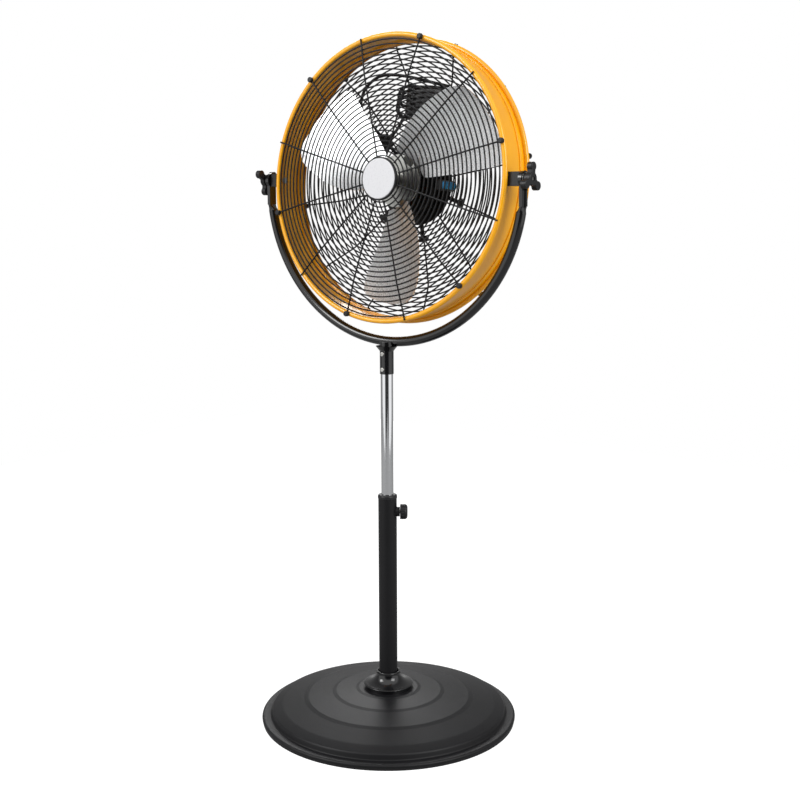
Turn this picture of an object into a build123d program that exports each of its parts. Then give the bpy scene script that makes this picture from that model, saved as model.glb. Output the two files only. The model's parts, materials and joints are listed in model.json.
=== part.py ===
from build123d import *
from math import cos, degrees, radians, sin, sqrt, tan
import os

# Pedestal drum fan. Millimetres, +Z up, origin on the floor under the centre of the base.
# The fan blows towards -Y. The head parts are drawn with the drum's axis along Y and the
# tilt axis through the origin, and are then tilted and lifted onto the yoke.

# ---- base ----
BASE_R = 265.0
BASE_SHEET = 1.5
LIP_ROLL_R = 4.5
EDGE_TRIM_HEIGHT = 3.0
EDGE_TRIM_WIDTH = 6.0
DOME_R = BASE_R - 20.0
DOME_SEAT_Z = 13.0
DOME_RIM_Z = 23.0
STEP_R = BASE_R - 80.0
INNER_STEP_R = BASE_R - 147.0
STEP_HEIGHT = 4.0
STEP_RUN = 4.0
STEP_TOP_Z = 45.0
INNER_STEP_TOP_Z = 58.0
BASE_TOP_Z = 64.0
BALLAST_R = BASE_R - 93.0
BALLAST_THICK = 18.0
BALLAST_Z = 12.0
BALLAST_HUB_R = 42.0

# ---- pole ----
OUTER_TUBE_R = 19.0
OUTER_TUBE_WALL = 1.5
OUTER_TUBE_TOP_Z = 470.0
TUBE_FOOT_LENGTH = 34.0
BASE_BOLT_R = 6.0
COLLAR_FLANGE_R = 51.5
COLLAR_NECK_R = OUTER_TUBE_R + 6.0
COLLAR_HEIGHT = 36.0
COLLAR_FOOT_HEIGHT = 7.0
COLLAR_GAP = 2.0
TOP_BUSH_R = OUTER_TUBE_R + 0.8
TOP_BUSH_LIP = 8.0
TOP_BUSH_DEPTH = 30.0
INNER_TUBE_R = 12.5
INNER_TUBE_WALL = 1.5
INNER_TUBE_ENGAGED = 98.0
SLIDE_CLEARANCE = 0.1
GLIDE_LENGTH = 30.0
GLIDE_PIN_R = 7.0
LOCK_BOSS_R = 10.0
LOCK_BOSS_LENGTH = 6.0
LOCK_HEIGHT_Z = 441.0
LOCK_DIRECTION = 35.0
LOCK_KNOB_R = 15.5
LOCK_KNOB_LENGTH = 15.0
LOCK_STUD_R = 4.0

# ---- yoke ----
DRUM_R = 283.0
PIVOT_Z = 1112.0
PIVOT_Y = 8.0
YOKE_R = DRUM_R + 27.0
YOKE_LEG = 10.0
YOKE_TUBE_R = 9.75
YOKE_TUBE_WALL = 1.6
EYE_R = 15.0
EYE_THICK = 7.0
LEG_FLAT = 50.0
LEG_SWAGE = 12.0
LEG_GROOVE = (6.0, 1.6)
STEM_R = 14.0
STEM_BOTTOM_Z = PIVOT_Z - YOKE_LEG - YOKE_R - 65.0
STEM_SCREW_TOP_Z = STEM_BOTTOM_Z + 41.0
STEM_SCREW_PITCH = 31.5
STEM_SCREW_HEAD_R = 4.5

# ---- head ----
TILT = 4.5
BEAD_R = 5.2
DRUM_SHEET = 1.2
BEAD_STAND = 8.0
DRUM_FRONT = 17.5
DRUM_DEPTH = 88.0
PIVOT_BOLT_R = 4.0
PIVOT_HEAD_R = 6.5
SPACER_HEIGHT = 26.0
SPACER_WIDTH = 13.0
SHANK_END = 16.0
KNOB_TIP_R = 31.0
KNOB_LOBE_R = 8.5
KNOB_HUB_R = 12.5
KNOB_THICK = 11.0
KNOB_NECK = 5.0
WASHER_THICK = 1.5

# ---- guards ----
RING_WIRE_R = 1.4
SPOKE_WIRE_R = 1.6
RING_PITCH = 9.6
SPOKES = 12
CLIPS = 6
WIRE_WELD = 0.4
WIRE_SEAT = 0.05
GUARD_OUTER_R = DRUM_R - 14.0
GUARD_EDGE_R = DRUM_R - 15.0
GUARD_KNEE_R = DRUM_R - 75.0
FRONT_RISE = 6.0
REAR_RISE = 30.0
FRONT_INNER_R = 45.0
FRONT_PHASE = 15.9
REAR_PHASE = 20.0
SPOKE_END_R = DRUM_R - 2.0
CLIP_R = 5.5
BADGE_R = FRONT_INNER_R - 5.5
BADGE_RING_R = FRONT_INNER_R - 2.5
BADGE_RING_DEPTH = 5.0

# ---- motor ----
MOTOR_R = 64.0
REAR_INNER_R = MOTOR_R + 15.0
MOTOR_WALL = 2.5
MOTOR_FRONT = 64.0
MOTOR_SPLIT = 88.0
EAR_LENGTH = 6.0
EAR_R = 6.0
EAR_OUT = 3.6
MOTOR_LENGTH = 60.0
SHAFT_R = 5.0
SHAFT_FRONT = 8.0
RUNNING_FIT = 0.05
BEARING_R = 13.0
BEARING_WIDTH = 9.0
STATOR_BORE_R = 34.0
STATOR_LENGTH = 24.0
AIR_GAP = 0.6
SLOTS = 12
SLOT_WIDTH = 7.0
SLOT_DEPTH = 16.0
COIL_GAP = 0.5
BRACKET_ARMS = 6
BRACKET_THICK = 3.0
BRACKET_ARM_WIDTH = 8.0
BRACKET_OUTER_R = MOTOR_R + 20.0
CLAMP_LENGTH = 5.4
CLAMP_WIDTH = 18.0

# ---- blades ----
BLADES = 3
BLADE_TIP_R = DRUM_R - 39.0
BLADE_ROOT_R = 56.0
BLADE_THICK = 1.5
BLADE_HALF_ANGLE = 41.0
BLADE_TAPER = 0.085
BLADE_ANGLE = 163.0
BLADE_SWEEP = 0.08
BLADE_DEPTH = 50.0
BLADE_ROOT_DEPTH = 34.0
BLADE_CENTRE = 24.0
BLADE_CAMBER = 5.0
BLADE_CORNER = 26.0
HUB_PLATE_R = 52.0
HUB_PLATE_THICK = 3.0
HUB_PLATE_BACK = 33.0
HUB_BOSS_R = 15.0
HUB_BOSS_LENGTH = 26.0
HUB_TAB_R = 92.0
HUB_TAB_WIDTH = 36.0
HUB_TAB_THICK = 2.0
RIVET_R = 2.5
RIVET_HEAD_R = 4.5

# ---- capacitor, speed switch ----
CAPACITOR_R = 11.0
CAPACITOR_LENGTH = 42.0
CAPACITOR_ANGLE = 94.0
CAPACITOR_SEAT_R = MOTOR_R + 20.0
CAPACITOR_STUD_R = 3.0
SWITCH_BOX = (44.0, 20.0, 34.0)
SWITCH_WALL = 2.0
SWITCH_NECK_R = 6.0
SWITCH_SHAFT_R = 3.0
SPEED_KNOB_R = 13.0
SPEED_KNOB_LENGTH = 12.0

# ---- mains cord, as (across, up) from the drum's axis; 1.8 m from gland to plug ----
CORD_R = 3.25
GLAND_R = 7.0
GLAND_LENGTH = 18.0
GLAND_ANGLE = 312.0
CORD_ELBOW_R = 146.0
CORD_LOOP = ((-146.0, 130.0), (-172.0, 164.0), (-157.0, 205.0), (-102.0, 232.0), (-48.0, 190.0))
CORD_TAIL = ((-30.0, 0.0, 150.0), (-50.0, 8.5, 138.0), (-70.0, 13.0, 120.0), (-92.0, 16.0, 104.0))
HANK_CENTRE = (10.0, 162.0)
HANK_LENGTH = 186.0
HANK_HEIGHT = 68.0
HANK_THICK = 8.0
HANK_LEAN = 5.0
TIE_WIDTH = 4.5

os.makedirs("parts", exist_ok=True)


def save(name, *shapes):
    """Write one node: a solid, or several equal ones as a group."""
    solids = []
    for shape in shapes:
        solids.extend(shape.solids())
    node = solids[0] if len(solids) == 1 else Compound(children=solids)
    export_step(node, f"parts/{name}.step")


def polar(radius, angle, offset):
    """A point of the head: angle clockwise from the top as seen from the front."""
    return (radius * sin(radians(angle)), -offset, radius * cos(radians(angle)))


def turn(angle):
    """Turn about the drum's axis, clockwise as seen from the front."""
    return Rot(0, angle, 0)


def head(shape):
    """Carry a shape from the head's own frame to its place on the yoke."""
    return Pos(0, PIVOT_Y, PIVOT_Z) * Rot(-TILT, 0, 0) * shape


def disc(radius, front, back):
    """A cylinder on the drum's axis between two distances ahead of the tilt axis."""
    return Pos(0, -(front + back) / 2, 0) * Rot(90, 0, 0) * Cylinder(radius, abs(front - back))


def tube(radius, bore, front, back):
    """A ring on the drum's axis."""
    return disc(radius, front, back) - disc(bore, front + 1, back - 1)


def torus(radius, wire, offset):
    """A wire ring about the drum's axis."""
    return Pos(0, -offset, 0) * Rot(90, 0, 0) * Torus(radius, wire)


def upright_tube(radius, bore, low, high):
    """A vertical tube about the pole's axis."""
    body = Pos(0, 0, (low + high) / 2) * Cylinder(radius, high - low)
    if bore > 0:
        body -= Pos(0, 0, (low + high) / 2) * Cylinder(bore, high - low + 2)
    return body


def sheet_profile(points, thick):
    """A strip of even thickness that lies under a chain of (radius, height) points."""
    under = []
    last = len(points) - 1
    for i, (r, z) in enumerate(points):
        r_in, z_in = points[max(i - 1, 0)]
        r_out, z_out = points[min(i + 1, last)]
        before = (r - r_in, z - z_in) if i > 0 else (r_out - r, z_out - z)
        after = (r_out - r, z_out - z) if i < last else (r - r_in, z - z_in)
        normals = []
        for dr, dz in (before, after):
            length = sqrt(dr * dr + dz * dz)
            normals.append((dz / length, -dr / length))
        nr = normals[0][0] + normals[1][0]
        nz = normals[0][1] + normals[1][1]
        square = nr * nr + nz * nz
        under.append((r + 2 * thick * nr / square, z + 2 * thick * nz / square))
    return points + under[::-1]


def revolved(points):
    """Turn a closed (radius, height) outline about the pole's axis."""
    outline = Polyline(*[(r, 0, z) for r, z in points], close=True)
    return revolve(make_face(outline), Axis.Z)


def screw(head_r, head_length, shank_r, shank_length):
    """A pan-head screw along +Z: the head stands above Z = 0 and the shank goes below."""
    pan = Pos(0, 0, head_length / 2) * Cylinder(head_r, head_length)
    pan = fillet(pan.edges().group_by(Axis.Z)[-1], head_length * 0.45)
    slot = Pos(0, 0, head_length) * Box(head_r * 1.2, head_r * 0.25, head_length * 0.7)
    return pan - slot + Pos(0, 0, -shank_length / 2) * Cylinder(shank_r, shank_length)


# ================= base =================
TRIM_SEAT_R = BASE_R - LIP_ROLL_R


def make_base_plate():
    """Pressed steel dome with two shallow steps and a rolled outer lip."""
    bore = OUTER_TUBE_R - OUTER_TUBE_WALL
    points = [(bore, BASE_TOP_Z), (COLLAR_FLANGE_R + 6, BASE_TOP_Z)]
    points.append((INNER_STEP_R - STEP_RUN, INNER_STEP_TOP_Z))
    points.append((INNER_STEP_R, INNER_STEP_TOP_Z - STEP_HEIGHT))
    points.append((STEP_R - STEP_RUN, STEP_TOP_Z))
    points.append((STEP_R, STEP_TOP_Z - STEP_HEIGHT))
    points.append((DOME_R - 6, DOME_RIM_Z + 2))
    points.append((DOME_R, DOME_RIM_Z - 4))
    points.append((DOME_R + 1, DOME_SEAT_Z))
    points.append((TRIM_SEAT_R, EDGE_TRIM_HEIGHT + 2 * LIP_ROLL_R - 1))
    flat = [(r, z) for r, z in sheet_profile(points[::-1], -BASE_SHEET)]
    roll = Pos(0, 0, EDGE_TRIM_HEIGHT + LIP_ROLL_R) * Torus(TRIM_SEAT_R, LIP_ROLL_R)
    return revolved(flat) + roll


def make_edge_trim():
    """Rubber ring that carries the lip clear of the floor."""
    low = revolved([(TRIM_SEAT_R - EDGE_TRIM_WIDTH / 2, 0), (TRIM_SEAT_R + EDGE_TRIM_WIDTH / 2, 0),
                    (TRIM_SEAT_R + EDGE_TRIM_WIDTH / 2, EDGE_TRIM_HEIGHT + 1.5),
                    (TRIM_SEAT_R - EDGE_TRIM_WIDTH / 2, EDGE_TRIM_HEIGHT + 1.5)])
    return low - Pos(0, 0, EDGE_TRIM_HEIGHT + LIP_ROLL_R) * Torus(TRIM_SEAT_R, LIP_ROLL_R)


def make_ballast():
    """Cast disc with a hub that reaches up to the underside of the dome."""
    low = BALLAST_Z
    high = BALLAST_Z + BALLAST_THICK
    hub_top = BASE_TOP_Z - BASE_SHEET
    body = revolved([(BASE_BOLT_R, low), (BALLAST_R - 3, low), (BALLAST_R, low + 3), (BALLAST_R, high - 3),
                     (BALLAST_R - 3, high), (BALLAST_HUB_R + 6, high), (BALLAST_HUB_R, high + 6),
                     (BALLAST_HUB_R, hub_top), (BASE_BOLT_R, hub_top)])
    for k in range(4):
        rib = Box(BALLAST_R - BALLAST_HUB_R - 30, 6, BALLAST_THICK)
        centre = (BALLAST_R + BALLAST_HUB_R) / 2 - 20
        body += Rot(0, 0, 45 + 90 * k) * Pos(centre, 0, BALLAST_Z + BALLAST_THICK) * rib
    return body


def make_collar():
    """Glossy bell: thin flange, hollow flare, and a round lip about the tube."""
    bore = OUTER_TUBE_R + COLLAR_GAP
    z0 = BASE_TOP_Z
    foot = [(bore, z0), (COLLAR_FLANGE_R - 3, z0), (COLLAR_FLANGE_R - 3, z0 + COLLAR_FOOT_HEIGHT)]
    top = z0 + COLLAR_HEIGHT
    edge = Polyline((bore, 0, top - 2), *[(r, 0, z) for r, z in foot],
                    (COLLAR_FLANGE_R, 0, z0 + COLLAR_FOOT_HEIGHT),
                    (COLLAR_FLANGE_R, 0, z0 + COLLAR_FOOT_HEIGHT + 2.5))
    flare = Spline((COLLAR_FLANGE_R, 0, z0 + COLLAR_FOOT_HEIGHT + 2.5),
                   (COLLAR_NECK_R, 0, top - 4),
                   tangents=[(-1.0, 0, 0.35), (-0.12, 0, 1.0)])
    lip = Polyline((COLLAR_NECK_R, 0, top - 4), (COLLAR_NECK_R, 0, top - 2), (bore, 0, top - 2))
    bell = revolve(make_face(edge + flare + lip), Axis.Z)
    lip_r = (COLLAR_NECK_R - bore) / 2
    return bell + Pos(0, 0, top - 2) * Torus(bore + lip_r, lip_r)


def hexagon_bar(size, length):
    """A hexagonal head, its flats `size` from the middle, standing on Z = 0."""
    return extrude(RegularPolygon(size / cos(radians(30)), 6), length)


def make_base_bolt():
    """Hex bolt that clamps ballast, base and collar to the foot of the tube."""
    head_top = BALLAST_Z - 2.5
    shank = upright_tube(BASE_BOLT_R, 0, head_top, BASE_TOP_Z + TUBE_FOOT_LENGTH - 8)
    return Pos(0, 0, head_top - 7) * hexagon_bar(9.5, 7) + shank


tube_bore = OUTER_TUBE_R - OUTER_TUBE_WALL
save("base_plate", make_base_plate())
save("base_edge_trim", make_edge_trim())
save("base_ballast", make_ballast())
save("base_collar", make_collar())
save("base_bolt", make_base_bolt())
save("base_washer", upright_tube(17, BASE_BOLT_R, BALLAST_Z - 2.5, BALLAST_Z))

# ================= pole =================


def radial_bar(radius, near, far, z, direction):
    """A round bar that leaves the pole's axis level, towards a compass direction."""
    bar = Pos((near + far) / 2, 0, 0) * Rot(0, 90, 0) * Cylinder(radius, far - near)
    return Pos(0, 0, z) * Rot(0, 0, direction) * bar


def make_outer_tube():
    """Outer tube with the hole that takes the lock boss."""
    body = upright_tube(OUTER_TUBE_R, tube_bore, BASE_TOP_Z, OUTER_TUBE_TOP_Z)
    return body - radial_bar(LOCK_BOSS_R, 0, OUTER_TUBE_R + 5, LOCK_HEIGHT_Z, LOCK_DIRECTION)


def make_lock_boss():
    """Threaded boss let into the tube's wall, flush with the top bush."""
    far = OUTER_TUBE_R + LOCK_BOSS_LENGTH
    boss = radial_bar(LOCK_BOSS_R, 0, far, LOCK_HEIGHT_Z, LOCK_DIRECTION)
    boss -= upright_tube(tube_bore, 0, LOCK_HEIGHT_Z - 30, LOCK_HEIGHT_Z + 30)
    return boss - radial_bar(LOCK_STUD_R + RUNNING_FIT, 0, far + 5, LOCK_HEIGHT_Z, LOCK_DIRECTION)


def make_top_bush():
    """Nylon bush in the mouth of the outer tube, with a rounded cap over the rim."""
    bore = INNER_TUBE_R + SLIDE_CLEARANCE
    cap = upright_tube(TOP_BUSH_R, 0, OUTER_TUBE_TOP_Z, OUTER_TUBE_TOP_Z + TOP_BUSH_LIP)
    cap = fillet(cap.edges().group_by(Axis.Z)[-1], 4.0)
    low = LOCK_HEIGHT_Z - LOCK_BOSS_R - TOP_BUSH_DEPTH / 2
    bush = cap + upright_tube(tube_bore, 0, low, OUTER_TUBE_TOP_Z)
    bush -= upright_tube(bore, 0, low - 5, OUTER_TUBE_TOP_Z + TOP_BUSH_LIP + 5)
    return bush - radial_bar(LOCK_STUD_R + 0.5, 0, tube_bore + 5, LOCK_HEIGHT_Z, LOCK_DIRECTION)


def make_tube_foot():
    """Threaded steel plug welded in the bottom of the outer tube."""
    return upright_tube(tube_bore, BASE_BOLT_R, BASE_TOP_Z, BASE_TOP_Z + TUBE_FOOT_LENGTH)


inner_low_z = OUTER_TUBE_TOP_Z + TOP_BUSH_LIP - INNER_TUBE_ENGAGED
inner_top_z = STEM_BOTTOM_Z + STEM_SCREW_PITCH + 16


def make_inner_tube():
    """Chromed tube with a plugged, stepped lower end that turns in the glide."""
    body = upright_tube(INNER_TUBE_R, INNER_TUBE_R - INNER_TUBE_WALL, inner_low_z, inner_top_z)
    plug = upright_tube(INNER_TUBE_R - INNER_TUBE_WALL, 0, inner_low_z, inner_low_z + 12)
    pin = upright_tube(GLIDE_PIN_R, 0, inner_low_z - GLIDE_LENGTH - 4, inner_low_z)
    keeper = upright_tube(GLIDE_PIN_R + 4, 0, inner_low_z - GLIDE_LENGTH - 6,
                          inner_low_z - GLIDE_LENGTH - 1)
    body = body + plug + pin + keeper
    for k in range(2):
        body -= stem_screw_place(k) * Cylinder(1.6, 8)
    return body


def make_glide():
    """Nylon glide that centres the inner tube's lower end in the outer tube."""
    radius = tube_bore - SLIDE_CLEARANCE
    return upright_tube(radius, GLIDE_PIN_R + RUNNING_FIT, inner_low_z - GLIDE_LENGTH,
                        inner_low_z - 0.5)


def stem_screw_place(k):
    """Seat of a stem screw on the front of the stem."""
    return Pos(0, -STEM_R, STEM_SCREW_TOP_Z - STEM_SCREW_PITCH * k) * Rot(90, 0, 0)


def make_lock_knob():
    """Round knob with a domed face and a fluted edge."""
    knob = Cylinder(LOCK_KNOB_R, LOCK_KNOB_LENGTH)
    knob = fillet(knob.edges().group_by(Axis.Z)[-1], 6.0)
    for k in range(18):
        knob -= Rot(0, 0, 20 * k) * Pos(LOCK_KNOB_R + 0.9, 0, 0) * Cylinder(1.6, LOCK_KNOB_LENGTH + 2)
    knob -= Pos(0, 0, -2.5) * Cylinder(LOCK_STUD_R, LOCK_KNOB_LENGTH - 5)
    reach = OUTER_TUBE_R + LOCK_BOSS_LENGTH + 1 + LOCK_KNOB_LENGTH / 2
    place = Pos(0, 0, LOCK_HEIGHT_Z) * Rot(0, 0, LOCK_DIRECTION) * Pos(reach, 0, 0) * Rot(0, 90, 0)
    return place * knob


save("outer_tube", make_outer_tube())
save("outer_tube_foot", make_tube_foot())
save("lock_boss", make_lock_boss())
save("top_bush", make_top_bush())
save("inner_tube", make_inner_tube())
save("pole_glide", make_glide())
save("lock_knob", make_lock_knob())
save("lock_stud", radial_bar(LOCK_STUD_R, INNER_TUBE_R + 0.4,
                             OUTER_TUBE_R + LOCK_BOSS_LENGTH + 1 + LOCK_KNOB_LENGTH - 5,
                             LOCK_HEIGHT_Z, LOCK_DIRECTION))

# ================= yoke =================
arc_z = PIVOT_Z - YOKE_LEG
yoke_bottom_z = arc_z - YOKE_R
leg_side = {-1: "left", 1: "right"}
eye_inner_x = YOKE_R - EYE_THICK / 2


def make_yoke():
    """Bent tube; both ends are pressed flat, grooved, and rounded into eyes about the tilt axis."""
    tube_end = PIVOT_Z - LEG_FLAT - LEG_SWAGE
    reach = sqrt(YOKE_R ** 2 - (arc_z - tube_end) ** 2)
    start = (-reach, PIVOT_Y, tube_end)
    path = ThreePointArc(start, (0, PIVOT_Y, yoke_bottom_z), (reach, PIVOT_Y, tube_end))
    rim = Plane(origin=start, z_dir=path % 0)
    body = sweep(rim * Circle(YOKE_TUBE_R), path=path)
    width = 2 * YOKE_TUBE_R
    groove_length = LEG_FLAT - EYE_R
    holes = []
    for side in leg_side:
        low = Plane(origin=(side * reach, PIVOT_Y, tube_end), z_dir=(side * (arc_z - tube_end), 0, reach))
        high = Plane(origin=(side * YOKE_R, PIVOT_Y, PIVOT_Z - LEG_FLAT), z_dir=(0, 0, 1))
        swage = loft([(low * Circle(YOKE_TUBE_R)).faces()[0],
                      (high * RectangleRounded(EYE_THICK, width, EYE_THICK * 0.4)).faces()[0]])
        leg = Pos(side * YOKE_R, PIVOT_Y, PIVOT_Z - LEG_FLAT / 2) * Box(EYE_THICK, width, LEG_FLAT)
        at_pivot = Pos(side * YOKE_R, PIVOT_Y, PIVOT_Z) * Rot(0, 90, 0)
        body += swage + leg + at_pivot * Cylinder(EYE_R, EYE_THICK)
        holes.append(Pos(side * (YOKE_R + EYE_THICK / 2), PIVOT_Y, PIVOT_Z - EYE_R - groove_length / 2 - 2)
                     * Box(2 * LEG_GROOVE[1], LEG_GROOVE[0], groove_length))
        holes.append(at_pivot * Cylinder(PIVOT_BOLT_R + RUNNING_FIT, 2 * EYE_THICK))
    body -= sweep(rim * Circle(YOKE_TUBE_R - YOKE_TUBE_WALL), path=path)
    return body - holes


def make_stem():
    """Socket welded under the yoke; it takes the inner tube."""
    body = upright_tube(STEM_R, 0, STEM_BOTTOM_Z, yoke_bottom_z)
    cone = Pos(0, 0, yoke_bottom_z - YOKE_TUBE_R - 4) * Cone(STEM_R, STEM_R + 8, 10)
    body += cone
    ring = Pos(0, PIVOT_Y, arc_z) * Rot(90, 0, 0) * Torus(YOKE_R, YOKE_TUBE_R)
    body -= ring
    body = body.solids().sort_by(SortBy.VOLUME)[-1]
    body -= upright_tube(INNER_TUBE_R, 0, STEM_BOTTOM_Z - 1, inner_top_z)
    for k in range(2):
        body -= stem_screw_place(k) * Cylinder(1.6, 20)
    return body


save("yoke", make_yoke())
save("yoke_stem", make_stem())
save("stem_screws", *[stem_screw_place(k) * screw(STEM_SCREW_HEAD_R, 3.0, 1.6, 3.0) for k in range(2)])

# ================= drum and pivots =================
bead_ring_r = DRUM_R - BEAD_R
wall_r = DRUM_R - BEAD_STAND
drum_back = DRUM_FRONT - DRUM_DEPTH


def on_tilt_axis(side, distance):
    """Frame on the tilt axis with its Z pointing away from the drum."""
    return Pos(side * distance, 0, 0) * Rot(0, 90 * side, 0)


def make_drum():
    """Drum of sheet metal with a rolled bead at each rim and a groove ahead of the rear bead."""
    wall = tube(wall_r, wall_r - DRUM_SHEET, DRUM_FRONT - BEAD_R, drum_back + BEAD_R)
    body = wall + torus(bead_ring_r, BEAD_R, DRUM_FRONT - BEAD_R)
    body += torus(bead_ring_r, BEAD_R, drum_back + BEAD_R)
    for side in (-1, 1):
        body -= on_tilt_axis(side, wall_r) * Cylinder(PIVOT_BOLT_R, 20)
    return body


washer_in = YOKE_R + EYE_THICK / 2 + 0.3
knob_in = washer_in + WASHER_THICK + 0.3
shank_end = YOKE_R + EYE_THICK / 2 + SHANK_END
spacer_in = wall_r
spacer_out = eye_inner_x - 0.3


def make_spacer(side):
    """Moulded block between the drum's wall and the yoke's eye."""
    place = on_tilt_axis(side, (spacer_in + spacer_out) / 2 - 1)
    body = place * Box(SPACER_HEIGHT, SPACER_WIDTH, spacer_out - spacer_in + 2)
    body -= disc(wall_r, DRUM_FRONT, drum_back)
    return body - on_tilt_axis(side, wall_r) * Cylinder(PIVOT_BOLT_R, 80)


def make_pivot_bolt(side):
    """Carriage bolt: domed head inside the drum, shank out through the eye to the knob."""
    inner = wall_r - DRUM_SHEET
    head_in = sqrt(inner ** 2 - PIVOT_HEAD_R ** 2) - 0.2
    cap = Cylinder(PIVOT_HEAD_R, 4)
    cap = fillet(cap.edges().group_by(Axis.Z)[0], 2.5)
    body = on_tilt_axis(side, head_in - 2) * cap
    length = shank_end - head_in + 1
    return body + on_tilt_axis(side, shank_end - length / 2) * Cylinder(PIVOT_BOLT_R, length)



def make_tilt_washer(side):
    """Steel washer between the eye and the knob."""
    place = on_tilt_axis(side, washer_in + WASHER_THICK / 2)
    return place * (Cylinder(EYE_R - 3, WASHER_THICK) - Cylinder(PIVOT_BOLT_R, 5))


def make_tilt_knob(side):
    """Three-lobed hand knob with a neck and a blind centre recess in its face."""
    body = Pos(0, 0, KNOB_NECK / 2) * Cylinder(KNOB_HUB_R - 2, KNOB_NECK)
    top = KNOB_NECK + KNOB_THICK
    body += Pos(0, 0, (KNOB_NECK + top) / 2) * Cylinder(KNOB_HUB_R, KNOB_THICK)
    for k in range(3):
        reach = KNOB_TIP_R - KNOB_LOBE_R
        arm = Pos(reach / 2, 0, 0) * Box(reach, 2 * KNOB_LOBE_R - 5, KNOB_THICK)
        arm += Pos(reach, 0, 0) * Cylinder(KNOB_LOBE_R, KNOB_THICK)
        body += Rot(0, 0, 120 * k) * Pos(0, 0, (KNOB_NECK + top) / 2) * arm
    body = fillet(body.edges().group_by(Axis.Z)[-1], 2.0)
    body -= Pos(0, 0, top) * Cylinder(4.5, 4)
    body -= Pos(0, 0, 0) * Cylinder(7.0, 2 * KNOB_NECK)
    body -= Cylinder(PIVOT_BOLT_R + RUNNING_FIT, 2 * (shank_end - knob_in + 0.5))
    return on_tilt_axis(side, knob_in) * Rot(0, 0, knob_turn[side]) * body


knob_turn = {1: 180.0, -1: 60.0}


def make_knob_insert(side):
    """Brass nut moulded into the neck of the knob."""
    body = Pos(0, 0, KNOB_NECK / 2) * Cylinder(7.0, KNOB_NECK)
    return on_tilt_axis(side, knob_in) * (body - Cylinder(PIVOT_BOLT_R + RUNNING_FIT, 20))


save("drum", head(make_drum()))
save("pivot_spacers", *[head(make_spacer(side)) for side in (-1, 1)])
save("pivot_bolts", *[head(make_pivot_bolt(side)) for side in (-1, 1)])
save("tilt_washers", *[head(make_tilt_washer(side)) for side in (-1, 1)])
for side, side_name in leg_side.items():
    save(f"tilt_knob_{side_name}", head(make_tilt_knob(side)))
    save(f"knob_insert_{side_name}", head(make_knob_insert(side)))

# ================= guards =================
ring_drop = RING_WIRE_R + SPOKE_WIRE_R - WIRE_WELD


def guard_offset(radius, rim, rise):
    """Distance ahead of the tilt axis of a guard's spoke at a radius (rise is signed)."""
    share = (GUARD_EDGE_R - radius) / (GUARD_EDGE_R - GUARD_KNEE_R)
    return rim + rise * min(max(share, 0.0), 1.0)


def ring_radii(inner_r):
    """Evenly spaced ring radii from the inner ring out to the rim."""
    gaps = round((GUARD_OUTER_R - inner_r) / RING_PITCH)
    return [inner_r + (GUARD_OUTER_R - inner_r) * k / gaps for k in range(gaps + 1)]


def wire_ring(radius, offset):
    """A guard ring; its section is an octagon that a round wire of the ring's size just fills."""
    corner = RING_WIRE_R / cos(radians(22.5))
    section = [(radius + corner * cos(radians(22.5 + 45 * k)), -offset + corner * sin(radians(22.5 + 45 * k)))
               for k in range(8)]
    return revolve(make_face(Polyline(*section, close=True)), Axis.Y)


def make_guard(rim, rise, inner_r, phase):
    """Round wire rings welded to the back of bent spokes."""
    flat = -(rim + rise)
    path = FilletPolyline((0, flat, inner_r - RING_WIRE_R), (0, flat, GUARD_KNEE_R),
                          (0, -rim, GUARD_EDGE_R), (0, -rim, SPOKE_END_R), radius=[30, 10])
    start = Plane(origin=(0, flat, inner_r - RING_WIRE_R), z_dir=(0, 0, 1))
    spoke = sweep(start * Circle(SPOKE_WIRE_R), path=path)
    wires = [turn(phase + 360 / SPOKES * k) * spoke for k in range(SPOKES)]
    for radius in ring_radii(inner_r):
        wires.append(wire_ring(radius, guard_offset(radius, rim, rise) - ring_drop))
    return wires[0].fuse(*wires[1:])


def make_clip(radius, angle, rim, front):
    """Round-headed clip that holds a spoke's end on a bead. front is +1 or -1."""
    base = rim - front * SPOKE_WIRE_R
    top = rim + front * (SPOKE_WIRE_R + 4)
    cap = Pos(0, -(base + top) / 2, 0) * Rot(90, 0, 0) * Cylinder(CLIP_R, abs(top - base))
    outer = cap.edges().filter_by(GeomType.CIRCLE).group_by(Axis.Y)[0 if front > 0 else -1]
    cap = fillet(outer, 2.0)
    cap = Pos(0, 0, radius) * cap
    reach = 2 * (SPOKE_END_R - radius + CLIP_R)
    groove = Pos(0, -rim, radius - CLIP_R) * Cylinder(SPOKE_WIRE_R + WIRE_SEAT, reach)
    mouth = Pos(0, -base, radius - CLIP_R) * Box(2 * (SPOKE_WIRE_R + WIRE_SEAT), 2 * SPOKE_WIRE_R, reach)
    return turn(angle) * (cap - groove - mouth)


front_rim = DRUM_FRONT + SPOKE_WIRE_R + WIRE_SEAT
rear_rim = drum_back - SPOKE_WIRE_R - WIRE_SEAT
clip_seat_r = SPOKE_END_R - 2.5
front_centre = front_rim + FRONT_RISE
rear_centre = rear_rim - REAR_RISE


def make_badge_ring():
    """Black dish that holds the badge in front of the guard's inner ring."""
    front = front_centre + SPOKE_WIRE_R + BADGE_RING_DEPTH
    body = disc(BADGE_RING_R, front, front_centre + SPOKE_WIRE_R)
    outer = body.edges().filter_by(GeomType.CIRCLE).group_by(Axis.Y)[0]
    body = fillet(outer, 2.0)
    return body - disc(BADGE_R, front + 1, front - 3)


def make_badge():
    """Plain white disc, slightly domed."""
    seat = front_centre + SPOKE_WIRE_R + BADGE_RING_DEPTH - 3
    body = disc(BADGE_R - 0.2, seat + 4.0, seat)
    outer = body.edges().filter_by(GeomType.CIRCLE).group_by(Axis.Y)[0]
    return fillet(outer, 1.5)


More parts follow.
